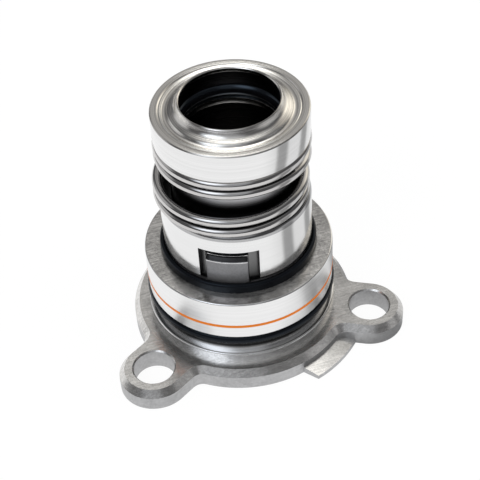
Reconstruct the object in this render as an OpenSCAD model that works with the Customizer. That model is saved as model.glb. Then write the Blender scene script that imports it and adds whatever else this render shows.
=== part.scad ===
// Cartridge mechanical seal: a three-ear gland flange that holds a fixed seat in a
// rubber cup, and a sprung rotating unit whose lugged face ring runs on that seat.
// The origin is on the shaft axis at the flange's lower face, and +Z runs up the shaft.

/* [Shaft and running parts, radial] */
// Bore of the sleeve that slides on the shaft
shaft_d = 25; // [22:0.5:28]
// Wall of the inner sleeve, which the face ring's O-ring slides on
sleeve_wall = 3.9; // [3.4:0.1:4.6]
// Section of the O-ring behind the rotating face ring
ring_oring_d = 1.6; // [1.4:0.1:2]
// Wall of the slotted carrier round the face ring
carrier_wall = 0.5; // [0.4:0.1:0.8]
// Wall of the outer drive sleeve
drive_wall = 1.3; // [1.2:0.1:2]
// How far a driving lug stands out of the carrier
lug_proud = 0.7; // [0.6:0.1:1]
// Wall of the collar's hub that holds the inner sleeve
hub_wall = 0.75; // [0.6:0.05:0.8]
// Section of the O-ring that grips the shaft in the top collar
shaft_oring_d = 3.9; // [3:0.1:4.2]
// How far the shaft O-ring stands into the bore
shaft_oring_grip = 0.2; // [0:0.05:0.25]

/* [Running parts, axial] */
// Height of the running face above the spigot's top
face_rise = 1.2; // [0.8:0.1:2]
// Height of the rotating face ring
ring_h = 9.1; // [8:0.1:12]
// Height of the face ring's thick foot, below the inner sleeve's end
foot_h = 2; // [1:0.1:2.5]
// Gap from the running face up to the drive sleeve's lower edge
drive_lift = 2.3; // [2:0.1:3]
// Height of the drive sleeve's shoulder above the carrier
shoulder_h = 3.95; // [3.4:0.05:5]
// Height of the carrier's web behind the O-ring
carrier_web = 2.4; // [1.6:0.1:3]
// How far a notch stops below the carrier's top
notch_crown = 1.2; // [0.8:0.1:1.4]
// Height of the top collar from the spring to its rim
collar_h = 8.1; // [7.8:0.1:12]
// Height of the raised lip above the collar's rim
lip_h = 2.6; // [1.5:0.1:3.5]
// Depth of the collar's hub that holds the inner sleeve
hub_h = 3.65; // [3:0.05:4]
// How far the collar can be pushed down against the spring
travel = 4.5; // [2:0.1:4.5]

/* [Driving lugs and notches] */
// Number of driving lugs
lug_count = 2; // [2:1:3]
// Angle that one lug spans
lug_angle = 33; // [24:1:38]
// Angle that one notch of the drive sleeve spans
notch_angle = 46; // [44:1:54]
// Direction of the first notch's middle, seen from above
notch_dir = -115; // [-180:1:180]
// Lag of the lugs behind the middle of their notches
lug_lag = 2; // [0:0.5:3]

/* [Spring] */
// Diameter of the spring wire
wire_d = 2.7; // [2.2:0.1:3]
// Free height of the spring
spring_h = 18; // [16:0.5:24]
// Rise between the two closed turns at the lower end
low_pitch = 3.3; // [3:0.1:3.6]
// Rise between the two closed turns at the upper end
top_pitch = 2.95; // [2.8:0.05:3.6]
// How much wider the lower turns are than the upper ones, per side
low_flare = 0.25; // [0:0.05:0.4]
// How far the lower turns sit off the shaft axis
low_shift = 0.9; // [0:0.1:0.9]
// Direction that the lower turns sit off the axis, seen from above
shift_dir = 163; // [0:1:359]

/* [Fixed seat] */
// Room between the shaft and the flange's throat
throat_gap = 2.4; // [1.8:0.1:3]
// Wall of the rubber cup round the fixed seat
cup_wall = 1.9; // [1.5:0.1:2.5]
// Floor of the rubber cup under the fixed seat
cup_floor = 2; // [1.5:0.1:3]
// Depth of the pocket in the gland for the cup
pocket_depth = 10.2; // [9:0.1:13]
// Diameter of the pin that stops the seat turning
seat_pin_d = 2.5; // [2:0.1:3]
// Depth of the pin's hole in the gland
seat_pin_sink = 3; // [2:0.1:4]

/* [Gland spigot] */
// Wall of the spigot round its pocket
spigot_wall = 4.3; // [3.8:0.1:6]
// Height of the step ring on the plate
step_h = 2.3; // [1.5:0.1:4]
// Height of the neck below the gland O-ring
neck_h = 3.1; // [2:0.1:5]
// Section of the gland O-ring
gland_oring_d = 3; // [2.4:0.1:3.5]
// Height of the polished band above the gland O-ring
low_band_h = 3.6; // [2.5:0.1:6]
// Height of the coloured line round the spigot
line_h = 0.8; // [0.4:0.1:1.5]
// Height of the plain band above the coloured line
top_band_h = 7.7; // [6:0.1:12]

/* [Flange plate] */
// Width of the plate's ledge round the spigot
shelf_w = 5; // [4:0.1:8]
// Thickness of the plate and its ears
plate_t = 6; // [5:0.5:10]
// Width of the chamfer round the plate's top edge
chamfer_w = 1.5; // [0.5:0.1:2]
// Height of the chamfer round the plate's top edge
chamfer_h = 2; // [1:0.1:3]
// Number of ears
ear_count = 3; // [3:1:4]
// Diameter of the circle that the bolt holes lie on
bolt_circle_d = 72; // [70:0.5:78]
// Diameter of each bolt hole
bolt_hole_d = 11; // [9:0.5:12]
// Metal round each bolt hole
ear_wall = 4; // [3:0.1:6]
// Radius of the inside corners between ears and disc
blend_r = 3; // [2:0.5:5]
// Direction of the pry ledge's free end, seen from above
ledge_dir = -76.5; // [-85:0.5:-65]
// Angle that the ledge spans up to its end inside the ear
ledge_angle = 33; // [28:1:36]
// Angle that the ledge's free end leans from the radial direction
ledge_lean = 24; // [0:1:30]
// How far the pry ledge stands out of the plate
ledge_out = 4.3; // [3:0.1:6]
// Thickness of the pry ledge at its outer edge
ledge_t = 1.3; // [1:0.1:2.5]
// How much thicker the pry ledge is at the plate
ledge_slope = 0.8; // [0.2:0.1:1.5]

/* [Hidden] */
$fn = 96;

// Clearances
run_gap = 0.06;     // O-ring sliding on the inner sleeve
nip_gap = 0.04;     // O-ring to the wall round it
fit_gap = 0.1;      // pieces nested in one another, per side
free_gap = 0.4;     // pieces that move past one another, per side
travel_gap = 0.5;   // inner sleeve to the face ring's foot, with the collar pushed down
cup_gap = 0.05;     // rubber cup in its pocket
lug_gap = 0.3;      // lug to each side of its slot in the carrier
lip_gap = 0.35;     // lug to the lip of the rubber cup
lip_clear = 0.9;    // drive sleeve's lower edge above that lip
groove_play = 0.3;  // O-ring groove wider than its ring
eps = 0.5;          // overrun of a cut past the face that it opens
graze = 0.02;       // step where a rounded inside corner meets the disc or an ear

// Radii from the shaft outwards
bore_r = shaft_d / 2;
bore_relief = 0.4;
foot_bore_r = bore_r + 1.8;
sleeve_r = bore_r + sleeve_wall;
ring_bore_r = sleeve_r + free_gap;
ring_oring_r = sleeve_r + run_gap + ring_oring_d / 2;
carrier_in_r = ring_oring_r + ring_oring_d / 2 + nip_gap;
ring_r = carrier_in_r - fit_gap;
carrier_r = carrier_in_r + carrier_wall;
lug_r = carrier_r + lug_proud;
drive_in_r = carrier_r + fit_gap;
drive_r = drive_in_r + drive_wall;
hub_r = sleeve_r + hub_wall;
coil_proud = 0.2;
coil_r = drive_r + coil_proud - wire_d / 2;
lip_in_r = lug_r + lip_gap;
lip_step = 0.4;
seat_r = lip_in_r - lip_step;
cup_r = seat_r + cup_wall;
pocket_r = cup_r + cup_gap;
spigot_r = pocket_r + spigot_wall;
throat_r = bore_r + throat_gap;
seat_pin_r = (throat_r + seat_r) / 2;
oring_proud = 0.4;
line_depth = 0.4;
disc_r = spigot_r + shelf_w;
shaft_oring_r = bore_r - shaft_oring_grip + shaft_oring_d / 2;

// Heights from the plate's lower face upwards
step_z = plate_t + step_h;
groove_lo_z = step_z + neck_h;
groove_hi_z = groove_lo_z + gland_oring_d + groove_play;
line_lo_z = groove_hi_z + low_band_h;
line_hi_z = line_lo_z + line_h;
spigot_z = line_hi_z + top_band_h;
pocket_z = spigot_z - pocket_depth;
face_z = spigot_z + face_rise;
nose_h = 0.8;
seat_edge = 0.3;
seat_pin_reach = 1.5;
seat_top_z = face_z - nose_h;
drive_lo_z = face_z + drive_lift;
cup_lip_z = drive_lo_z - lip_clear;
carrier_lo_z = face_z + 0.5;
ring_top_z = face_z + ring_h;
web_lo_z = ring_top_z + ring_oring_d + fit_gap;
carrier_top_z = web_lo_z + carrier_web;
notch_top_z = carrier_top_z - notch_crown;
drive_top_z = carrier_top_z + shoulder_h;
collar_z = drive_top_z + spring_h;
rim_z = collar_z + collar_h;
lip_z = rim_z + lip_h;
tail_lo_z = face_z + foot_h + travel + travel_gap;
shaft_groove_lo_z = collar_z + 1.2;
shaft_groove_hi_z = shaft_groove_lo_z + shaft_oring_d + groove_play;
stop_t = 1.6;
sleeve_top_z = shaft_groove_lo_z - stop_t;
hub_lo_z = collar_z - hub_h;

// Lug and notch directions
lug_dir = notch_dir - lug_lag;
slot_angle = lug_angle + 2 * lug_gap / lug_r * 180 / PI;
lug_step = 360 / lug_count;
ear_step = 360 / ear_count;
ear_dir = 90;
ear_d = bolt_circle_d / 2;
ear_r = bolt_hole_d / 2 + ear_wall;

steel = [0.78, 0.77, 0.75];
dull_steel = [0.6, 0.6, 0.6];
rubber = [0.05, 0.05, 0.06];
carbide = [0.42, 0.42, 0.44];

// Part of a ring between two radii and two heights, over an angle centred on a direction
module sector(r_in, r_out, z_lo, z_hi, dir, angle) {
    rotate([0, 0, dir - angle / 2])
        rotate_extrude(angle = angle)
            translate([r_in, z_lo])
                square([r_out - r_in, z_hi - z_lo]);
}

// O-ring on the Z axis, from its mean radius, section and middle height
module o_ring(mean_r, section, z) {
    rotate_extrude()
        translate([mean_r, z])
            circle(d = section, $fn = 32);
}

// Points of a quarter round from one corner to another, sweeping between two angles
function round_points(cx, cy, r, from, to, steps = 5) =
    [for (i = [0:steps]) let (a = from + (to - from) * i / steps) [cx + r * cos(a), cy + r * sin(a)]];

// Disc or ear of the plate with its top chamfer
module chamfered_disc(r) {
    rotate_extrude()
        polygon([[0, 0], [r, 0], [r, plate_t - chamfer_h], [r - chamfer_w, plate_t], [0, plate_t]]);
}

// Straight-sided web between the disc and one ear, with a rounded inside corner on each side
module ear_web() {
    web_w = ear_r - graze;
    top_w = web_w - chamfer_w;
    corner_y = web_w + blend_r + graze;
    reach = disc_r + blend_r + graze;
    corner_x = sqrt(reach * reach - corner_y * corner_y);
    // points inside the disc and the web, where the corner block ends unseen
    inner_y = top_w - 1;
    disc_end = [corner_x, corner_y] * (disc_r - chamfer_w - 2) / reach;
    rotate([90, 0, 90])
        linear_extrude(height = ear_d)
            polygon([[-web_w, 0], [web_w, 0], [web_w, plate_t - chamfer_h], [top_w, plate_t],
                     [-top_w, plate_t], [-web_w, plate_t - chamfer_h]]);
    for (side = [0, 1])
        mirror([0, side, 0])
            difference() {
                linear_extrude(height = plate_t)
                    polygon([[corner_x, corner_y], disc_end, [disc_end[0], inner_y], [corner_x, inner_y]]);
                translate([corner_x, corner_y, 0])
                    rotate_extrude()
                        polygon([[0, -eps], [blend_r, -eps], [blend_r, plate_t - chamfer_h],
                                 [blend_r + chamfer_w * (1 + eps / chamfer_h), plate_t + eps],
                                 [0, plate_t + eps]]);
            }
}

// Pry ledge beside the disc, running into an ear, with a top that slopes outwards
module pry_ledge() {
    reach = ledge_out + 4;
    root = 3;
    // rim point of an end and the direction that the end runs in
    function rim(a) = disc_r * [cos(a), sin(a)];
    function lean(a) = [cos(a + ledge_lean), sin(a + ledge_lean)];
    first = ledge_dir;
    last = ledge_dir + ledge_angle;
    intersection() {
        rotate_extrude()
            polygon([[0, 0], [disc_r + ledge_out, 0], [disc_r + ledge_out, ledge_t],
                     [disc_r, ledge_t + ledge_slope], [0, ledge_t + ledge_slope]]);
        linear_extrude(height = ledge_t + ledge_slope)
            polygon([rim(first) - root * lean(first), rim(first) + reach * lean(first),
                     rim(last) + reach * lean(last), rim(last) - root * lean(last)]);
    }
}

// Neck and spigot of the gland above the plate, as a turned profile
module spigot_body() {
    edge = 0.5;
    neck_r = spigot_r - 0.9;
    step_r = spigot_r + 0.4;
    low_band_r = spigot_r - 0.1;
    groove_r = spigot_r - gland_oring_d + oring_proud;
    rotate_extrude()
        polygon(concat(
            [[0, 0], [step_r, 0], [step_r, step_z - edge]],
            round_points(step_r - edge, step_z - edge, edge, 0, 90),
            [[neck_r, step_z], [neck_r, groove_lo_z], [groove_r, groove_lo_z], [groove_r, groove_hi_z],
             [low_band_r, groove_hi_z], [low_band_r, line_lo_z], [spigot_r - line_depth, line_lo_z],
             [spigot_r - line_depth, line_hi_z], [spigot_r, line_hi_z], [spigot_r, spigot_z - edge]],
            round_points(spigot_r - edge, spigot_z - edge, edge, 0, 90),
            [[0, spigot_z]]));
}

module gland_flange() {
    broken_edge = 0.4;
    color(steel)
    difference() {
        union() {
            chamfered_disc(disc_r);
            spigot_body();
            for (i = [0:ear_count - 1])
                rotate([0, 0, ear_dir + i * ear_step]) {
                    translate([ear_d, 0, 0]) chamfered_disc(ear_r);
                    ear_web();
                }
            pry_ledge();
        }
        translate([0, 0, -eps]) cylinder(r = throat_r, h = spigot_z + 2 * eps);
        translate([0, 0, pocket_z]) cylinder(r = pocket_r, h = pocket_depth + eps);
        for (i = [0:ear_count - 1])
            rotate([0, 0, ear_dir + i * ear_step])
                translate([ear_d, 0, 0]) {
                    translate([0, 0, -eps]) cylinder(d = bolt_hole_d, h = plate_t + 2 * eps);
                    // broken edge at the mouth of the hole
                    translate([0, 0, plate_t - broken_edge])
                        cylinder(r1 = bolt_hole_d / 2, r2 = bolt_hole_d / 2 + broken_edge + eps,
                                 h = broken_edge + eps);
                }
        translate([seat_pin_r, 0, pocket_z - seat_pin_sink])
            cylinder(d = seat_pin_d, h = seat_pin_sink + eps, $fn = 32);
    }
}

module gland_oring() {
    color(rubber)
        o_ring(spigot_r + oring_proud - gland_oring_d / 2, gland_oring_d, (groove_lo_z + groove_hi_z) / 2);
}

// Coloured line in its shallow groove round the spigot
module marking_line() {
    proud = 0.05;
    color([0.95, 0.42, 0.05])
        rotate_extrude()
            translate([spigot_r - line_depth, line_lo_z])
                square([line_depth + proud, line_h]);
}

// Rubber cup that holds the seat, with a rounded lip standing out of the spigot
module seat_cup() {
    lip_round = (cup_r - lip_in_r) / 2 - graze;
    cup_bore_r = throat_r + 0.3;
    color(rubber)
    difference() {
        rotate_extrude()
            polygon(concat(
                [[cup_bore_r, pocket_z], [cup_r, pocket_z], [cup_r, cup_lip_z - lip_round]],
                round_points(cup_r - lip_round, cup_lip_z - lip_round, lip_round, 0, 90),
                round_points(lip_in_r + lip_round, cup_lip_z - lip_round, lip_round, 90, 180),
                [[lip_in_r, seat_top_z], [seat_r, seat_top_z - seat_edge],
                 [seat_r, pocket_z + cup_floor], [cup_bore_r, pocket_z + cup_floor]]));
        pin_hole(pocket_z - eps, cup_floor + 2 * eps);
    }
}

// Clearance hole round the seat pin, from a height upwards
module pin_hole(z, h) {
    translate([seat_pin_r, 0, z])
        cylinder(d = seat_pin_d + 2 * fit_gap, h = h, $fn = 32);
}

// Fixed face ring, with the raised nose that the rotating ring runs on
module stationary_seat() {
    seat_lo_z = pocket_z + cup_floor;
    seat_in_r = bore_r + 1.1;
    nose_in_r = ring_bore_r - 0.3;
    nose_out_r = ring_r + 0.4;
    dish = 0.6;
    color(carbide)
    difference() {
        rotate_extrude()
            polygon([[seat_in_r, seat_lo_z], [seat_r, seat_lo_z], [seat_r, seat_top_z - seat_edge],
                     [seat_r - seat_edge, seat_top_z], [nose_out_r, seat_top_z], [nose_out_r, face_z],
                     [nose_in_r, face_z], [seat_in_r, face_z - dish]]);
        pin_hole(seat_lo_z - eps, seat_pin_reach + 2 * eps);
    }
}

module seat_pin() {
    color(dull_steel)
        translate([seat_pin_r, 0, pocket_z - seat_pin_sink])
            cylinder(d = seat_pin_d, h = seat_pin_sink + cup_floor + seat_pin_reach, $fn = 32);
}

// Outer sleeve that carries the spring and drives the lugs through its notches
module drive_sleeve() {
    crown_w = 0.9;
    crown_h = 2.1;
    color(steel)
    difference() {
        rotate_extrude()
            polygon(concat(
                [[drive_in_r, drive_lo_z], [drive_r, drive_lo_z], [drive_r, drive_top_z - crown_h]],
                [for (i = [1:5]) let (a = 18 * i)
                    [drive_r - crown_w + crown_w * cos(a), drive_top_z - crown_h + crown_h * sin(a)]],
                [[ring_bore_r, drive_top_z], [ring_bore_r, carrier_top_z], [drive_in_r, carrier_top_z]]));
        for (i = [0:lug_count - 1])
            sector(drive_in_r - eps, drive_r + eps, drive_lo_z - eps, notch_top_z,
                   notch_dir + i * lug_step, notch_angle);
    }
}

// Thin shell round the face ring and its O-ring, slotted where the lugs stand out
module ring_carrier() {
    color(dull_steel)
    difference() {
        rotate_extrude()
            polygon([[carrier_in_r, carrier_lo_z], [carrier_r, carrier_lo_z], [carrier_r, carrier_top_z],
                     [ring_bore_r, carrier_top_z], [ring_bore_r, web_lo_z], [carrier_in_r, web_lo_z]]);
        for (i = [0:lug_count - 1])
            sector(carrier_in_r - eps, carrier_r + eps, carrier_lo_z - eps, web_lo_z,
                   lug_dir + i * lug_step, slot_angle);
    }
}

// Rotating face ring: thick foot, thin wall round the inner sleeve, and driving lugs
module rotary_ring() {
    lug_lo = face_z + 0.2;
    lug_hi = ring_top_z - 0.2;
    lug_chamfer_w = 1;
    lug_chamfer_h = 1.1;
    root = 0.4;
    color(carbide)
    union() {
        rotate_extrude()
            polygon([[foot_bore_r, face_z], [ring_r, face_z], [ring_r, ring_top_z], [ring_bore_r, ring_top_z],
                     [ring_bore_r, face_z + foot_h], [foot_bore_r, face_z + foot_h]]);
        for (i = [0:lug_count - 1])
            rotate([0, 0, lug_dir + i * lug_step - lug_angle / 2])
                rotate_extrude(angle = lug_angle)
                    polygon([[ring_r - root, lug_lo], [lug_r, lug_lo], [lug_r, lug_hi - lug_chamfer_h],
                             [lug_r - lug_chamfer_w, lug_hi], [ring_r - root, lug_hi]]);
    }
}

module rotary_oring() {
    color(rubber)
        o_ring(ring_oring_r, ring_oring_d, ring_top_z + ring_oring_d / 2 + fit_gap / 2);
}

// Share of a smooth rise from 0 to 1 between two turns of the coil
function rise(t, from, to) = let (u = min(1, max(0, (t - from) / (to - from)))) u * u * (3 - 2 * u);

// Height of the wire's middle, t turns up from the lower end
function wire_z(t) =
    let (low = drive_top_z + wire_d / 2,
         top = collar_z - wire_d / 2 - 0.15,
         open = top - low - low_pitch - top_pitch)
    low + low_pitch * rise(t, 0.55, 1.2) + open * rise(t, 1.57, 2.33) + top_pitch * rise(t, 2.45, 3.2);

// Share by which the lower turns are wide and off the axis, t turns up from the lower end
function looseness(t) = 1 - rise(t, 1.5, 2.3);

// Coil spring: left-hand, two closed turns at each end and one open turn between them
module spring() {
    turns = 3.7;
    sides = 14;
    steps = 56 * turns;
    // direction of the wire's lower end, seen from above
    start = -106.6 + 360 * 0.35;
    rings = [for (i = [0:steps])
        let (t = turns * i / steps, a = start - 360 * t, z = wire_z(t), loose = looseness(t),
             off = low_shift * loose * [cos(shift_dir), sin(shift_dir)])
        [for (k = [0:sides - 1])
            let (b = 90 + 360 * k / sides, r = coil_r + low_flare * loose + wire_d / 2 * cos(b))
            [off[0] + r * cos(a), off[1] + r * sin(a), z + wire_d / 2 * sin(b)]]];
    points = [for (ring = rings) for (p = ring) p];
    last = len(rings) - 1;
    color(steel)
        polyhedron(
            points = points,
            faces = concat(
                [[for (k = [0:sides - 1]) k]],
                [for (i = [0:last - 1]) for (k = [0:sides - 1])
                    [i * sides + k, (i + 1) * sides + k,
                     (i + 1) * sides + (k + 1) % sides, i * sides + (k + 1) % sides]],
                [[for (k = [sides - 1:-1:0]) last * sides + k]]),
            convexity = 8);
}

// Top collar: raised lip and turned rings on its face, O-ring groove, hub for the inner sleeve
module top_collar() {
    edge = 0.3;
    groove_depth = 0.8;
    ledge_r = bore_r + 1.7;
    ridge_r = bore_r + 2.8;
    rim_r = ridge_r + 2.2;
    groove_r = shaft_oring_r + shaft_oring_d / 2 + 0.05;
    color(steel)
    rotate_extrude()
        polygon(concat(
            [[sleeve_r, hub_lo_z], [hub_r, hub_lo_z], [hub_r, collar_z], [drive_r - edge, collar_z],
             [drive_r, collar_z + edge], [drive_r, rim_z - edge], [drive_r - edge, rim_z], [rim_r, rim_z]],
            // hollow ring turned into the face
            [for (i = [1:6]) let (u = i / 7)
                [rim_r + (ridge_r - rim_r) * u, rim_z - groove_depth * sin(180 * u) + 0.2 * u]],
            [[ridge_r, rim_z + 0.2], [ledge_r + 0.2, rim_z + 0.5]],
            // slope up to the lip
            [for (i = [0:5]) let (a = 15 * i)
                [ledge_r - (ledge_r - bore_r - 0.5) * sin(a * 90 / 75),
                 lip_z - (lip_h - 0.6) * (cos(a * 90 / 75))]],
            [[bore_r + 0.35, lip_z], [bore_r, lip_z - 0.35], [bore_r, lip_z - 1.2],
             [bore_r + bore_relief, lip_z - 1.6], [bore_r + bore_relief, shaft_groove_hi_z],
             [groove_r, shaft_groove_hi_z], [groove_r, shaft_groove_lo_z],
             [bore_r + 0.1, shaft_groove_lo_z], [bore_r + 0.1, sleeve_top_z], [sleeve_r, sleeve_top_z]]));
}

// Inner sleeve pressed into the collar's hub, sliding on the shaft inside the face ring
module inner_sleeve() {
    land = 10;
    lead = 0.6;
    color(dull_steel)
    rotate_extrude()
        polygon([[bore_r, tail_lo_z], [sleeve_r - lead, tail_lo_z], [sleeve_r, tail_lo_z + lead],
                 [sleeve_r, sleeve_top_z], [bore_r + bore_relief, sleeve_top_z],
                 [bore_r + bore_relief, tail_lo_z + land + bore_relief], [bore_r, tail_lo_z + land]]);
}

module shaft_oring() {
    color(rubber)
        o_ring(shaft_oring_r, shaft_oring_d, (shaft_groove_lo_z + shaft_groove_hi_z) / 2);
}

gland_flange();
gland_oring();
marking_line();
seat_cup();
stationary_seat();
seat_pin();
rotary_ring();
rotary_oring();
ring_carrier();
drive_sleeve();
spring();
top_collar();
inner_sleeve();
shaft_oring();
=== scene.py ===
import math

import bmesh
import bpy
from mathutils import Matrix, Vector


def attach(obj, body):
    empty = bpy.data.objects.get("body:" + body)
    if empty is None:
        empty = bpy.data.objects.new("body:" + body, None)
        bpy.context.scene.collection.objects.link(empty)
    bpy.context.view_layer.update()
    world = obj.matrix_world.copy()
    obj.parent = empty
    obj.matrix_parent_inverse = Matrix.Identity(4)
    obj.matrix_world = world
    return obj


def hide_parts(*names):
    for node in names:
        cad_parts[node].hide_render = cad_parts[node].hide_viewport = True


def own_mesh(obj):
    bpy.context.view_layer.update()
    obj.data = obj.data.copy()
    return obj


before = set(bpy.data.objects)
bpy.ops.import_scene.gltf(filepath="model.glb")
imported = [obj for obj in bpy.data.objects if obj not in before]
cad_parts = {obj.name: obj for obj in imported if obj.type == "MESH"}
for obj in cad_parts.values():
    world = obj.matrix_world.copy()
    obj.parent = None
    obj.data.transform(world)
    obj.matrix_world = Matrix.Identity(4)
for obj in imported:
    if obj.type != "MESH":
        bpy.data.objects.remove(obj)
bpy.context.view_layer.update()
MM = 0.001

# Camera: it looks down on the standing seal from the front, a little from the left,
# with a long lens and a slight roll.
azimuth = math.radians(-16.6)
elevation = math.radians(43.34)
roll = math.radians(-3.74)
distance = 343.72 * MM
aim_right = 0.83 * MM
aim_down = 18.67 * MM
back = Vector((
    math.sin(azimuth) * math.cos(elevation),
    -math.cos(azimuth) * math.cos(elevation),
    math.sin(elevation),
))
level = Vector((math.cos(azimuth), math.sin(azimuth), 0))
rise = back.cross(level)
cam_x = math.cos(roll) * level + math.sin(roll) * rise
cam_y = math.cos(roll) * rise - math.sin(roll) * level
spot = back * distance + cam_y * aim_down - cam_x * aim_right
camera = bpy.data.objects.new("camera", bpy.data.cameras.new("camera"))
bpy.context.collection.objects.link(camera)
camera.matrix_world = Matrix.Translation(spot) @ Matrix((cam_x, cam_y, back)).transposed().to_4x4()
camera.data.sensor_width = 36
camera.data.lens = 90
camera.data.clip_start = 0.01
bpy.context.scene.camera = camera
bpy.context.scene.view_settings.view_transform = "Standard"

# Floor: a plain sheet of white paper that keeps the soft shadow of the seal. The grey strips
# on it show only in the metal, as the dark edges of a studio do.
SHEET_HALF = 1.5
SHEET_OWN_WHITE = 0.9
SHEET_WHITE = 1.05
STRIP_FADE_FROM = 0.6
STRIP_FADE_TO = 1.4
STRIPS = (
    # bearing of each strip's middle from +X in degrees, half width in degrees, how dark it is
    (-39, 9, 0.5),
    (6, 9, 0.5),
    (-12, 45, 0.2),
)
SEEN_RAYS = ("Is Camera Ray", "Is Glossy Ray", "Is Transmission Ray")
floor_mesh = bmesh.new()
bmesh.ops.create_grid(floor_mesh, x_segments=1, y_segments=1, size=SHEET_HALF)
floor_data = bpy.data.meshes.new("floor")
floor_mesh.to_mesh(floor_data)
floor_mesh.free()
floor = bpy.data.objects.new("floor", floor_data)
bpy.context.collection.objects.link(floor)


def new_finish(name):
    finish = bpy.data.materials.new(name)
    finish.use_nodes = True
    return finish, finish.node_tree, finish.node_tree.nodes["Principled BSDF"]


def add_node(tree, kind, values=None, **settings):
    made = tree.nodes.new(kind)
    for setting, value in settings.items():
        setattr(made, setting, value)
    for socket, value in (values or {}).items():
        made.inputs[socket].default_value = value
    return made


def add_up(tree, shares):
    # the sum of some shader values, up to 1
    total = shares[0]
    for share in shares[1:]:
        both = add_node(tree, "ShaderNodeMath", operation="ADD", use_clamp=True)
        tree.links.new(total, both.inputs[0])
        tree.links.new(share, both.inputs[1])
        total = both.outputs[0]
    return total


def ray_share(tree, kinds):
    path = add_node(tree, "ShaderNodeLightPath")
    return add_up(tree, [path.outputs[kind] for kind in kinds])


def change_range(tree, value, old, new, soft=False):
    # carries a shader value from one range of numbers to another
    made = add_node(
        tree, "ShaderNodeMapRange",
        {"From Min": old[0], "From Max": old[1], "To Min": new[0], "To Max": new[1]},
        interpolation_type="SMOOTHSTEP" if soft else "LINEAR",
    )
    tree.links.new(value, made.inputs["Value"])
    return made.outputs[0]


def object_place(tree):
    return add_node(tree, "ShaderNodeTexCoord").outputs["Object"]


def split_place(tree):
    parts = add_node(tree, "ShaderNodeSeparateXYZ")
    tree.links.new(object_place(tree), parts.inputs[0])
    return parts.outputs


paper, tree, shader = new_finish("white_paper")
shader.inputs["Base Color"].default_value = (0.85, 0.85, 0.85, 1)
shader.inputs["Roughness"].default_value = 0.9
shader.inputs["Specular IOR Level"].default_value = 0
glow = add_node(tree, "ShaderNodeEmission", {"Color": (1, 1, 1, 1)})
own_white = add_node(tree, "ShaderNodeMath", {1: SHEET_OWN_WHITE}, operation="MULTIPLY")
tree.links.new(ray_share(tree, SEEN_RAYS), own_white.inputs[0])
blend = add_node(tree, "ShaderNodeMixShader")
tree.links.new(own_white.outputs[0], blend.inputs[0])
tree.links.new(shader.outputs[0], blend.inputs[1])
tree.links.new(glow.outputs[0], blend.inputs[2])
tree.links.new(blend.outputs[0], tree.nodes["Material Output"].inputs["Surface"])
sides = split_place(tree)
bearing = add_node(tree, "ShaderNodeMath", operation="ARCTAN2")
tree.links.new(sides["Y"], bearing.inputs[0])
tree.links.new(sides["X"], bearing.inputs[1])
greys = []
for middle, half, dark in STRIPS:
    off = add_node(tree, "ShaderNodeMath", {1: math.radians(middle)}, operation="SUBTRACT")
    tree.links.new(bearing.outputs[0], off.inputs[0])
    apart = add_node(tree, "ShaderNodeMath", operation="ABSOLUTE")
    tree.links.new(off.outputs[0], apart.inputs[0])
    fade_over = (math.radians(half * STRIP_FADE_FROM), math.radians(half * STRIP_FADE_TO))
    greys.append(change_range(tree, apart.outputs[0], fade_over, (dark, 0), soft=True))
mirrored = add_node(tree, "ShaderNodeMath", operation="MULTIPLY")
tree.links.new(add_up(tree, greys), mirrored.inputs[0])
tree.links.new(ray_share(tree, ("Is Glossy Ray",)), mirrored.inputs[1])
white = add_node(tree, "ShaderNodeMath", {0: SHEET_WHITE}, operation="SUBTRACT")
tree.links.new(mirrored.outputs[0], white.inputs[1])
tree.links.new(white.outputs[0], glow.inputs["Strength"])
floor_data.materials.append(paper)

# World: white behind everything and in the metal, and an even, weaker light on the seal
# from all round.
ROUND_LIGHT = 0.55
world = bpy.data.worlds.new("studio")
world.use_nodes = True
bpy.context.scene.world = world
tree = world.node_tree
sky = tree.nodes["Background"]
sky.inputs["Color"].default_value = (1, 1, 1, 1)
sky_strength = change_range(tree, ray_share(tree, SEEN_RAYS), (0, 1), (ROUND_LIGHT, 1.0))
tree.links.new(sky_strength, sky.inputs["Strength"])

# Grey tent: a half sphere of dark grey cloth over the seal, with pale windows in it. It is
# seen only in the metal.
TENT_R = 1.2
HEM_Z = 0.003
CLOTH_GLOW = (0.105, 0.105, 0.108)
WINDOW_FADE_BELOW = 0.06
WINDOW_FADE_ABOVE = 0.04
mirror = Vector((-back.x, -back.y, back.z))
right = Vector((level.x, level.y, 0))
forward = Vector((-back.x, -back.y, 0)).normalized()
up = Vector((0, 0, 1))
WINDOWS = (
    # direction from the seal, cosine of the half width, colour and brightness
    (mirror, 0.90, (0.24, 0.235, 0.225)),
    ((mirror + up * 1.9).normalized(), 0.972, (2.7, 2.67, 2.58)),
    (up, 0.80, (0.2, 0.2, 0.195)),
    ((-forward * 0.74 - right * 0.2 + up * 0.69).normalized(), 0.88, (0.29, 0.3, 0.315)),
    ((mirror + right * 0.8).normalized(), 0.95, (0.42, 0.39, 0.34)),
    ((mirror * 0.5 - right).normalized(), 0.95, (0.45, 0.45, 0.45)),
    ((right - forward * 0.4).normalized(), 0.97, (0.5, 0.5, 0.5)),
    ((right * 0.64 + forward * 0.73 + up * 0.3).normalized(), 0.96, (0.75, 0.71, 0.62)),
    ((-forward * 0.76 - right * 0.64 + up * 1.02).normalized(), 0.978, (1.5, 1.6, 1.75)),
)
tent_mesh = bmesh.new()
bmesh.ops.create_uvsphere(tent_mesh, u_segments=64, v_segments=32, radius=TENT_R)
bmesh.ops.bisect_plane(
    tent_mesh,
    geom=tent_mesh.verts[:] + tent_mesh.edges[:] + tent_mesh.faces[:],
    plane_co=(0, 0, HEM_Z),
    plane_no=(0, 0, 1),
    clear_inner=True,
)
tent_data = bpy.data.meshes.new("tent")
tent_mesh.to_mesh(tent_data)
tent_mesh.free()
tent = bpy.data.objects.new("tent", tent_data)
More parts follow.
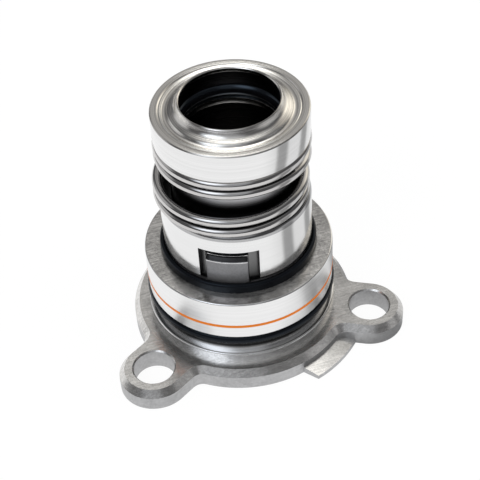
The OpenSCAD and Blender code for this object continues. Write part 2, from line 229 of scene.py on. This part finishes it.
bpy.context.collection.objects.link(tent)


def scale_colour(tree, colour, scale):
    # a colour made lighter or darker by a shader value
    scaled = add_node(tree, "ShaderNodeVectorMath", {0: colour}, operation="SCALE")
    tree.links.new(scale, scaled.inputs["Scale"])
    return scaled.outputs[0]


cloth, tree, shader = new_finish("grey_cloth")
tree.nodes.remove(shader)
glow = add_node(tree, "ShaderNodeEmission", {"Strength": 1.0})
tree.links.new(glow.outputs[0], tree.nodes["Material Output"].inputs["Surface"])
unit = add_node(tree, "ShaderNodeVectorMath", operation="NORMALIZE")
tree.links.new(object_place(tree), unit.inputs[0])
total = None
for facing, edge, bright in WINDOWS:
    aim = add_node(tree, "ShaderNodeVectorMath", {1: tuple(facing)}, operation="DOT_PRODUCT")
    tree.links.new(unit.outputs[0], aim.inputs[0])
    fade_over = (edge - WINDOW_FADE_BELOW, edge + WINDOW_FADE_ABOVE)
    opening = change_range(tree, aim.outputs["Value"], fade_over, (0, 1), soft=True)
    pane = scale_colour(tree, bright, opening)
    # the first window is added to the cloth's own glow, and each other one to what is there
    both = add_node(tree, "ShaderNodeVectorMath", {0: CLOTH_GLOW}, operation="ADD")
    if total is not None:
        tree.links.new(total, both.inputs[0])
    tree.links.new(pane, both.inputs[1])
    total = both.outputs[0]
tree.links.new(total, glow.inputs["Color"])
tent_data.materials.append(cloth)
tent.visible_camera = False
tent.visible_diffuse = False
tent.visible_shadow = False
tent.visible_transmission = False

# Lamps: a large soft box over the left shoulder and a weaker one on the right. The metal
# doesn't mirror them.
LAMPS = (
    # name, place in metres, width in metres, power in watts
    ("key", (-0.62, -0.40, 0.72), 0.45, 2.2),
    ("fill", (0.6, -0.3, 0.5), 0.4, 0.8),
)
LIT_SPOT = Vector((0, 0, 0.03))
for name, place, width, power in LAMPS:
    lamp = bpy.data.lights.new(name, "AREA")
    lamp.size = width
    lamp.energy = power
    box = bpy.data.objects.new(name, lamp)
    bpy.context.collection.objects.link(box)
    towards = LIT_SPOT - Vector(place)
    box.matrix_world = Matrix.Translation(place) @ towards.to_track_quat("-Z", "Y").to_matrix().to_4x4()
    box.visible_glossy = False

# Gland flange: one casting in stainless steel, turned on the spigot, the neck and the steps
# round it, and fine machined on the plate, its ears and the pry ledge. Its edges are broken.
STEP_EDGE_R = 26.3
PLATE_T = 6.0
PLATE_PLAY = 0.02
SPIGOT_TOP_Z = 20.4
BAND_INSIDE_R = 25.3
NECK_R = 24.6
NECK_PLAY = 0.2
GROOVE_Z = 11.5
# painted shade under the O-ring: the neck keeps its colour up to the first height and is dark from the second
NECK_LIT_Z = 9.0
NECK_SHADED_Z = 10.4
BROKEN_EDGE = 0.15
# a sharp edge turns by more than this many degrees
SHARP_EDGE = 28
# the upward part of a face's normal is under the first on an upright face, over the second on a flat one
UPRIGHT = 0.3
FLAT = 0.9


def noise(tree, place, scale, detail, rough=0.5):
    made = add_node(tree, "ShaderNodeTexNoise", {"Scale": scale, "Detail": detail, "Roughness": rough})
    tree.links.new(place, made.inputs["Vector"])
    return made.outputs["Fac"]


def lathe_place(tree, scale):
    # radius and height of a point, scaled, so that a texture runs in rings round the shaft
    sides = split_place(tree)
    flat = add_node(tree, "ShaderNodeCombineXYZ")
    tree.links.new(sides["X"], flat.inputs["X"])
    tree.links.new(sides["Y"], flat.inputs["Y"])
    radius = add_node(tree, "ShaderNodeVectorMath", operation="LENGTH")
    tree.links.new(flat.outputs[0], radius.inputs[0])
    rings = add_node(tree, "ShaderNodeCombineXYZ")
    for measure, socket in ((radius.outputs["Value"], "X"), (sides["Z"], "Y")):
        scaled = add_node(tree, "ShaderNodeMath", {1: scale}, operation="MULTIPLY")
        tree.links.new(measure, scaled.inputs[0])
        tree.links.new(scaled.outputs[0], rings.inputs[socket])
    return rings.outputs[0]


def turned_steel(name, colour, rough, grooves, spread, depth=0.25):
    # turned metal: rings round the shaft in its shine and relief, and a highlight drawn across them
    finish, tree, shader = new_finish(name)
    shader.inputs["Metallic"].default_value = 1
    shader.inputs["Anisotropic"].default_value = spread
    # a quarter turn, so that the highlight is drawn out across the grooves
    shader.inputs["Anisotropic Rotation"].default_value = 0.25
    turning = add_node(tree, "ShaderNodeTangent", direction_type="RADIAL", axis="Z")
    tree.links.new(turning.outputs[0], shader.inputs["Tangent"])
    rings = noise(tree, lathe_place(tree, scale=grooves), scale=1.0, detail=4.0, rough=0.75)
    shine = change_range(tree, rings, (0.3, 0.7), (rough * 0.8, rough * 1.25))
    tree.links.new(shine, shader.inputs["Roughness"])
    tint = change_range(tree, rings, (0.4, 0.6), (1 - 0.2 * depth, 1 + 0.1 * depth))
    tree.links.new(scale_colour(tree, colour, tint), shader.inputs["Base Color"])
    relief = add_node(tree, "ShaderNodeBump", {"Strength": 1.0, "Distance": 0.00006 * depth})
    tree.links.new(rings, relief.inputs["Height"])
    tree.links.new(relief.outputs[0], shader.inputs["Normal"])
    return finish


def machined_steel(name, colour, rough, mottle=0.2):
    # fine machined metal: an even grain, short scratches one way and soft cloudy patches
    finish, tree, shader = new_finish(name)
    # a little less than full metal, as a matt surface scatters some of its light
    shader.inputs["Metallic"].default_value = 0.89
    place = object_place(tree)
    grain = noise(tree, place, scale=1700.0, detail=3.0, rough=0.6)
    lay = add_node(tree, "ShaderNodeMapping", {"Scale": (110, 2100, 900), "Rotation": (0, 0, 0.5)})
    tree.links.new(place, lay.inputs["Vector"])
    lines = noise(tree, lay.outputs[0], scale=1.0, detail=2.0, rough=0.6)
    scratches = add_node(tree, "ShaderNodeMath", operation="ADD")
    tree.links.new(grain, scratches.inputs[0])
    tree.links.new(lines, scratches.inputs[1])
    clouds = noise(tree, place, scale=130.0, detail=6.0, rough=0.7)
    shine = change_range(tree, clouds, (0.3, 0.7), (rough * 0.88, rough * 1.15))
    tree.links.new(shine, shader.inputs["Roughness"])
    spots = add_node(tree, "ShaderNodeMath", {1: 1.6}, operation="MULTIPLY_ADD")
    tree.links.new(clouds, spots.inputs[0])
    tree.links.new(scratches.outputs[0], spots.inputs[2])
    tint = change_range(tree, spots.outputs[0], (1.3, 2.3), (1 - mottle, 1 + mottle))
    tree.links.new(scale_colour(tree, colour, tint), shader.inputs["Base Color"])
    relief = add_node(tree, "ShaderNodeBump", {"Strength": 0.12, "Distance": 0.00003})
    tree.links.new(scratches.outputs[0], relief.inputs["Height"])
    tree.links.new(relief.outputs[0], shader.inputs["Normal"])
    return finish


def shade_by_height(finish, lit_z, shaded_z, shade_level):
    # paints shade on a finish: darker towards the shaded height
    tree = finish.node_tree
    shader = tree.nodes["Principled BSDF"]
    heights = (shaded_z * MM, lit_z * MM)
    shade_ramp = change_range(tree, split_place(tree)["Z"], heights, (shade_level, 1.0), soft=True)
    shade = add_node(tree, "ShaderNodeVectorMath", operation="SCALE")
    tree.links.new(shader.inputs["Base Color"].links[0].from_socket, shade.inputs[0])
    tree.links.new(shade_ramp, shade.inputs["Scale"])
    tree.links.new(shade.outputs[0], shader.inputs["Base Color"])
    return finish


def solid_copy(node):
    # the solid's own shape as one joined mesh
    shape = bmesh.new()
    shape.from_mesh(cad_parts[node].data)
    bmesh.ops.remove_doubles(shape, verts=shape.verts[:], dist=0.0000001)
    return shape


def ease_edges(shape, width, steps=2):
    edges = [
        edge for edge in shape.edges
        if len(edge.link_faces) == 2 and edge.calc_face_angle() > math.radians(SHARP_EDGE)
    ]
    bmesh.ops.bevel(
        shape, geom=edges, offset=width * MM, segments=steps, profile=0.5, affect="EDGES", material=-1,
        clamp_overlap=True,
    )


def radius_and_height(face):
    # where the middle of a face lies, in millimetres from the shaft's axis and over the flange's foot
    middle = face.calc_center_median()
    return math.hypot(middle.x, middle.y) / MM, middle.z / MM


def show(name, mesh, finishes, body, crisp=30):
    # puts a finished bmesh into the scene as a smooth-shaded piece that rides on a body
    data = bpy.data.meshes.new(name)
    mesh.to_mesh(data)
    mesh.free()
    # normals kept from the solid no longer fit the mesh
    if "custom_normal" in data.attributes:
        data.attributes.remove(data.attributes["custom_normal"])
    piece = bpy.data.objects.new(name, data)
    bpy.context.collection.objects.link(piece)
    for finish in finishes:
        data.materials.append(finish)
    data.shade_smooth()
    data.set_sharp_from_angle(angle=math.radians(crisp))
    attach(piece, body)
    return piece


# places in the list of finishes below; other faces keep the first of the list
TURNED, FACED, MILLED, NECK, BAND = range(1, 6)
flange_shape = solid_copy("gland_flange")
ease_edges(flange_shape, BROKEN_EDGE, steps=1)
for face in flange_shape.faces:
    radius, height = radius_and_height(face)
    upright = abs(face.normal.z) < UPRIGHT
    if radius < STEP_EDGE_R and height > PLATE_T + PLATE_PLAY:
        face.material_index = TURNED
        if height > SPIGOT_TOP_Z and face.normal.z > FLAT:
            face.material_index = FACED
        elif abs(radius - NECK_R) < NECK_PLAY and upright and height < GROOVE_Z:
            face.material_index = NECK
        elif radius > BAND_INSIDE_R and upright and height > GROOVE_Z:
            face.material_index = BAND
    elif upright:
        face.material_index = MILLED
neck_steel = turned_steel("neck_steel", (0.7, 0.7, 0.7), rough=0.2, grooves=900, spread=0.2, depth=0.4)
flange = show(
    "gland_casting",
    flange_shape,
    [
        machined_steel("machined_steel", (0.68, 0.67, 0.655), rough=0.23, mottle=0.3),
        turned_steel("spigot_steel", (0.86, 0.86, 0.86), rough=0.2, grooves=900, spread=0.1, depth=0.2),
        machined_steel("faced_steel", (0.64, 0.63, 0.615), rough=0.2, mottle=0.55),
        machined_steel("milled_edge_steel", (0.46, 0.46, 0.465), rough=0.4),
        # the neck, with painted shade under the O-ring
        shade_by_height(neck_steel, NECK_LIT_Z, NECK_SHADED_Z, shade_level=0.03),
        turned_steel("spigot_band_steel", (0.88, 0.88, 0.88), rough=0.32, grooves=900, spread=0.1, depth=0.2),
    ],
    "gland",
    crisp=14,
)
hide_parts("gland_flange")


# Gland O-ring: moulded from black nitrile rubber. It is stretched over the spigot and lies in
# the groove above the neck, standing a little proud.
def mix_colours(tree, share, first, second):
    mixed = add_node(tree, "ShaderNodeMix", {6: first, 7: second}, data_type="RGBA")
    tree.links.new(share, mixed.inputs[0])
    return mixed.outputs[2]


def black_rubber(name, rough, gloss=0.2):
    finish, tree, shader = new_finish(name)
    shader.inputs["Specular IOR Level"].default_value = gloss
    shader.inputs["Specular Tint"].default_value = (0.62, 0.8, 1.0, 1)
    bloom = noise(tree, object_place(tree), scale=240.0, detail=4.0, rough=0.6)
    shine = change_range(tree, bloom, (0.3, 0.7), (rough * 0.85, rough * 1.2))
    tree.links.new(shine, shader.inputs["Roughness"])
    black = mix_colours(tree, bloom, (0.003, 0.003, 0.004, 1), (0.006, 0.0065, 0.008, 1))
    tree.links.new(black, shader.inputs["Base Color"])
    return finish


def dress(node, finish):
    # gives a solid that is shown as it is its finish
    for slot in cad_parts[node].material_slots:
        slot.material = finish


rubber = black_rubber("nitrile_rubber", rough=0.25)
dress("gland_oring", rubber)

# Marking line: orange enamel that fills the shallow groove turned round the spigot. It is
# painted in and lies flush with the metal.
enamel, tree, shader = new_finish("orange_enamel")
shader.inputs["Roughness"].default_value = 0.35
shader.inputs["Specular IOR Level"].default_value = 0.25
wear = noise(tree, object_place(tree), scale=500.0, detail=3.0)
orange = mix_colours(tree, wear, (0.95, 0.22, 0.006, 1), (1.0, 0.28, 0.012, 1))
tree.links.new(orange, shader.inputs["Base Color"])
dress("marking_line", enamel)

# Seat cup: a moulded rubber ring that holds the fixed seat, with its rounded lip standing
# out of the spigot.
dress("seat_cup", black_rubber("cup_rubber", rough=0.2))

# Fixed seat and rotating face ring: fine ground carbide, dull grey. The ring's driving lugs
# have eased edges with a painted highlight, and tops darkened with painted shade. The seat's stop pin is
# drawn steel.
LUG_EASE = 0.2
LUG_EDGE_Z = 35.5
LUG_EDGE_UP = 0.1
LUG_TOP_UP = 0.6


def ground_carbide(name, colour, rough):
    finish, tree, shader = new_finish(name)
    shader.inputs["Metallic"].default_value = 0.4
    grain = noise(tree, object_place(tree), scale=1400.0, detail=3.0, rough=0.7)
    tint = change_range(tree, grain, (0.3, 0.7), (0.85, 1.1))
    tree.links.new(scale_colour(tree, colour, tint), shader.inputs["Base Color"])
    shine = change_range(tree, grain, (0.3, 0.7), (rough * 0.85, rough * 1.2))
    tree.links.new(shine, shader.inputs["Roughness"])
    return finish


carbide = ground_carbide("ground_carbide", (0.25, 0.25, 0.26), rough=0.35)
dress("stationary_seat", carbide)
# the lugs' tops are painted shade, and their eased edges a painted highlight
SHADED_TOP, HIGHLIT_EDGE = range(1, 3)
ring_shape = solid_copy("rotary_ring")
ease_edges(ring_shape, LUG_EASE)
for face in ring_shape.faces:
    _, height = radius_and_height(face)
    if height > LUG_EDGE_Z and face.normal.z > LUG_EDGE_UP:
        face.material_index = SHADED_TOP if face.normal.z > LUG_TOP_UP else HIGHLIT_EDGE
ring = show(
    "face_ring_ground",
    ring_shape,
    [
        carbide,
        ground_carbide("lug_top_shade_carbide", (0.02, 0.02, 0.022), rough=0.3),
        machined_steel("lug_edge_highlight", (0.75, 0.75, 0.76), rough=0.2),
    ],
    "head",
)
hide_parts("rotary_ring")
dress("seat_pin", machined_steel("drawn_pin_steel", (0.55, 0.55, 0.55), rough=0.3))

# Drive sleeve: drawn and turned steel with a rounded shoulder, and two notches that drive the
# lugs. Painted shade darkens its inside, its notch faces and its flat faces that look up, and its
# shoulder is a shaded copy of its steel. The thin carrier inside it is turned steel darkened with
# painted shade, and a rubber ring seals the face ring on the inner sleeve.
SLEEVE_INSIDE_R = 19.9
SLEEVE_DARK_Z = 41.0
SHOULDER_UP = 0.12
# painted shade on the inside and the upward flats, and a shaded copy of the steel on the shoulder
SHADED_FACES, SHOULDER = range(1, 3)
sleeve_shape = solid_copy("drive_sleeve")
for face in sleeve_shape.faces:
    radius, height = radius_and_height(face)
    inside = radius < SLEEVE_INSIDE_R and height < SLEEVE_DARK_Z
    if inside or face.normal.z > FLAT:
        face.material_index = SHADED_FACES
    elif face.normal.z > SHOULDER_UP:
        face.material_index = SHOULDER
sleeve = show(
    "sleeve_turned",
    sleeve_shape,
    [
        turned_steel("sleeve_steel", (0.82, 0.82, 0.82), rough=0.13, grooves=900, spread=0.5, depth=0.2),
        turned_steel("sleeve_painted_shade_steel", (0.03, 0.03, 0.032), rough=0.35, grooves=900, spread=0.3),
        turned_steel("shoulder_shaded_steel", (0.46, 0.46, 0.465), rough=0.1, grooves=900, spread=0.3, depth=0.4),
    ],
    "head",
)
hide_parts("drive_sleeve")
# the carrier's steel is darkened with painted shade
dress("ring_carrier", turned_steel("carrier_shaded_steel", (0.2, 0.2, 0.2), rough=0.35, grooves=900, spread=0.4))
dress("rotary_oring", rubber)

# Spring: one left-hand coil of polished round wire, with two closed turns at each end. The lower
# turns are a little wide and sit off the shaft, as the head is loose. Painted shade darkens the
# joints between turns that touch.
WIRE_D = 2.7
WIRE_SIDES = 24
COIL_R = 18.85
LOW_Z = 46.5
TURNS = 3.7
TURN_STEPS = 72
# bearing of the wire's lower end in degrees
LOW_END = 19.4
CLIMBS = (
    # rise of the wire in millimetres, and the turns at which it starts and ends
    (3.3, 0.55, 1.2),
    (8.9, 1.57, 2.33),
    (2.95, 2.45, 3.2),
)
LOW_FLARE = 0.25
LOW_SHIFT = 0.9
SHIFT_DIR = math.radians(163)
# the turns at which the lower coils start and cease to come back to the shaft
HOMING = (1.5, 2.3)
# turns whose heights differ by less than this touch, and the wire gets painted shade there where it faces up
TOUCHING = 3.5
JOINT_UP = 0.88
WIRE_PLAY = 0.05
SHADED_JOINT = 1


def eased(turn, first, last):
    u = min(1, max(0, (turn - first) / (last - first)))
    return u * u * (3 - 2 * u)


def wire_height(turn):
    height = LOW_Z
    for climb, first, last in CLIMBS:
        height += climb * eased(turn, first, last)
    return height


def polished_wire(name, colour, rough):
    finish, tree, shader = new_finish(name)
    shader.inputs["Metallic"].default_value = 1
    rings = noise(tree, lathe_place(tree, scale=2500), scale=1.0, detail=2.0)
    shine = change_range(tree, rings, (0, 1), (rough * 0.7, rough * 1.4))
    tree.links.new(shine, shader.inputs["Roughness"])
    tint = change_range(tree, rings, (0, 1), (0.9, 1.08))
    tree.links.new(scale_colour(tree, colour, tint), shader.inputs["Base Color"])
    return finish


wire = bmesh.new()
bmesh.ops.create_circle(wire, cap_ends=True, segments=WIRE_SIDES, radius=WIRE_D / 2 * MM)
stand_up = Matrix.Rotation(math.pi / 2, 3, "X")
bmesh.ops.rotate(wire, verts=wire.verts[:], cent=(0, 0, 0), matrix=stand_up)
bmesh.ops.translate(wire, verts=wire.verts[:], vec=(COIL_R * MM, 0, LOW_Z * MM))
turn_to_end = Matrix.Rotation(math.radians(LOW_END), 3, "Z")
bmesh.ops.rotate(wire, verts=wire.verts[:], cent=(0, 0, 0), matrix=turn_to_end)
tip = wire.edges[:]
hoops = [(0, wire.verts[:])]
for step in range(round(TURNS * TURN_STEPS)):
    turn = (step + 1) / TURN_STEPS
    lift = wire_height(turn) - wire_height(step / TURN_STEPS)
    spun = bmesh.ops.spin(
        wire, geom=tip, cent=(0, 0, 0), axis=(0, 0, 1), dvec=(0, 0, lift * MM),
        angle=-math.radians(360 / TURN_STEPS), steps=1, use_merge=False,
    )
    tip = [part for part in spun["geom_last"] if isinstance(part, bmesh.types.BMEdge)]
    hoops.append((turn, [part for part in spun["geom_last"] if isinstance(part, bmesh.types.BMVert)]))
bmesh.ops.contextual_create(wire, geom=tip)
for turn, hoop in hoops:
    loose = 1 - eased(turn, *HOMING)
    outwards = math.radians(LOW_END - 360 * turn)
    flare = Vector((math.cos(outwards), math.sin(outwards), 0)) * LOW_FLARE
    aside = Vector((math.cos(SHIFT_DIR), math.sin(SHIFT_DIR), 0)) * LOW_SHIFT
    bmesh.ops.translate(wire, verts=hoop, vec=(flare + aside) * loose * MM)
bmesh.ops.recalc_face_normals(wire, faces=wire.faces[:])
for face in wire.faces:
    middle = face.calc_center_median()
    outwards = math.degrees(math.atan2(middle.y, middle.x))
    for lap in range(math.ceil(TURNS)):
        turn = (LOW_END - outwards) / 360 % 1 + lap
        here = wire_height(turn)
        if turn > TURNS or abs(here - middle.z / MM) > WIRE_D / 2 + WIRE_PLAY:
            continue
        above = wire_height(turn + 1) if turn + 1 < TURNS else here + WIRE_D
        if face.normal.z > JOINT_UP and above - here < TOUCHING:
            face.material_index = SHADED_JOINT
coil = show(
    "spring_wire",
    wire,
    [
        polished_wire("spring_steel", (0.6, 0.59, 0.585), rough=0.08),
        polished_wire("joint_shade_wire", (0.04, 0.04, 0.042), rough=0.3),
    ],
    "head",
)
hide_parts("spring")
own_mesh(coil)

# Top collar: turned from stainless bar, with a raised lip round the bore, a ridge and a hollow
# ring on its face, a groove for the shaft O-ring and a short hub that holds the inner sleeve.
COLLAR_FORM = (
    # radius and height of each corner, in millimetres: first the hub and the band
    (16.4, 59.5), (17.15, 59.5), (17.15, 63.15), (19.7, 63.15), (20.0, 63.45), (20.0, 70.95), (19.7, 71.25),
    # the face, with its ridge and its hollow ring
    (18.1, 71.2), (17.9, 70.95), (17.7, 70.9), (17.5, 71.05), (16.85, 70.72), (16.3, 70.58), (15.8, 70.75),
    (15.5, 71.3), (15.3, 71.45),
    # the lip
    (14.4, 71.75), (13.9, 72.1), (13.5, 72.7), (13.2, 73.5), (13.0, 73.8), (12.85, 73.85), (12.5, 73.5),
    # the bore, with the O-ring's groove, the stop and the place of the inner sleeve
    (12.5, 72.65), (12.9, 72.25), (12.9, 68.55), (16.25, 68.55), (16.25, 64.35), (12.6, 64.35),
    (12.6, 62.75), (16.4, 62.75),
)
LATHE_STEPS = 224
COLLAR_EASE = 0.1
HUB_R = 16.3
HUB_TOP_Z = 63.1
RELIEF_R = 12.95
RELIEF_Z = (68.4, 72.5)
RING_GROOVE_R = 16.4
RING_GROOVE_Z = (64.4, 68.6)
COLLAR_BAND_R = 19.9
# the hub and the bore's relief and groove are darkened with painted shade
HUB, SHADED_BORE, COLLAR_BAND = range(1, 4)


def turn_on_lathe(form):
    # spins a closed outline of radius and height round the shaft
    shape = bmesh.new()
    corners = [shape.verts.new((radius * MM, 0, height * MM)) for radius, height in form]
    for first, second in zip(corners, corners[1:]):
        shape.edges.new((first, second))
    shape.edges.new((corners[-1], corners[0]))
    bmesh.ops.spin(
        shape, geom=shape.verts[:] + shape.edges[:], cent=(0, 0, 0), axis=(0, 0, 1), dvec=(0, 0, 0),
        angle=2 * math.pi, steps=LATHE_STEPS, use_merge=True,
    )
    bmesh.ops.remove_doubles(shape, verts=shape.verts[:], dist=0.0000005)
    bmesh.ops.recalc_face_normals(shape, faces=shape.faces[:])
    return shape


collar_shape = turn_on_lathe(COLLAR_FORM)
ease_edges(collar_shape, COLLAR_EASE)
for face in collar_shape.faces:
    radius, height = radius_and_height(face)
    in_relief = radius < RELIEF_R and RELIEF_Z[0] < height < RELIEF_Z[1]
    in_groove = radius < RING_GROOVE_R and RING_GROOVE_Z[0] < height < RING_GROOVE_Z[1]
    if radius > HUB_R and height < HUB_TOP_Z:
        face.material_index = HUB
    elif in_relief or in_groove:
        face.material_index = SHADED_BORE
    elif radius > COLLAR_BAND_R and abs(face.normal.z) < UPRIGHT:
        face.material_index = COLLAR_BAND
collar = show(
    "collar_turned",
    collar_shape,
    [
        turned_steel("collar_steel", (0.9, 0.88, 0.85), rough=0.12, grooves=1700, spread=0.75, depth=1.4),
        turned_steel("hub_shade_steel", (0.16, 0.165, 0.175), rough=0.3, grooves=3000, spread=0.4),
        turned_steel("bore_shade_steel", (0.03, 0.03, 0.032), rough=0.3, grooves=3000, spread=0.3),
        turned_steel("band_steel", (0.82, 0.82, 0.82), rough=0.13, grooves=900, spread=0.5, depth=0.2),
    ],
    "collar",
)
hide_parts("top_collar")

# Inner sleeve and shaft O-ring: the sleeve is turned steel, pressed into the collar's hub. Painted shade
# darkens it inside. Outside, a painted reflection makes it lighter at the top and painted shade darkens
# it towards the bottom. The rubber ring lies in the groove above it.
TUBE_OUTSIDE_R = 16.2
TUBE_LIT_Z = 55.5
TUBE_SHADED_Z = 51.5
TUBE_OUTSIDE = 1
# painted shade inside; outside, painted reflection at the top fading to painted shade below
bore_steel = turned_steel("sleeve_bore_shade_steel", (0.03, 0.029, 0.027), rough=0.28, grooves=3000, spread=0.4)
lit_tube_steel = turned_steel("sleeve_outside_light_and_shade", (0.55, 0.55, 0.565), rough=0.3, grooves=3000, spread=0.4)
outer_steel = shade_by_height(lit_tube_steel, TUBE_LIT_Z, TUBE_SHADED_Z, shade_level=0.04)
tube_shape = solid_copy("inner_sleeve")
for face in tube_shape.faces:
    radius, _ = radius_and_height(face)
    if radius > TUBE_OUTSIDE_R:
        face.material_index = TUBE_OUTSIDE
tube = show("inner_sleeve_turned", tube_shape, [bore_steel, outer_steel], "collar")
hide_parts("inner_sleeve")
dress("shaft_oring", black_rubber("shaft_ring_rubber", rough=0.16, gloss=0.55))
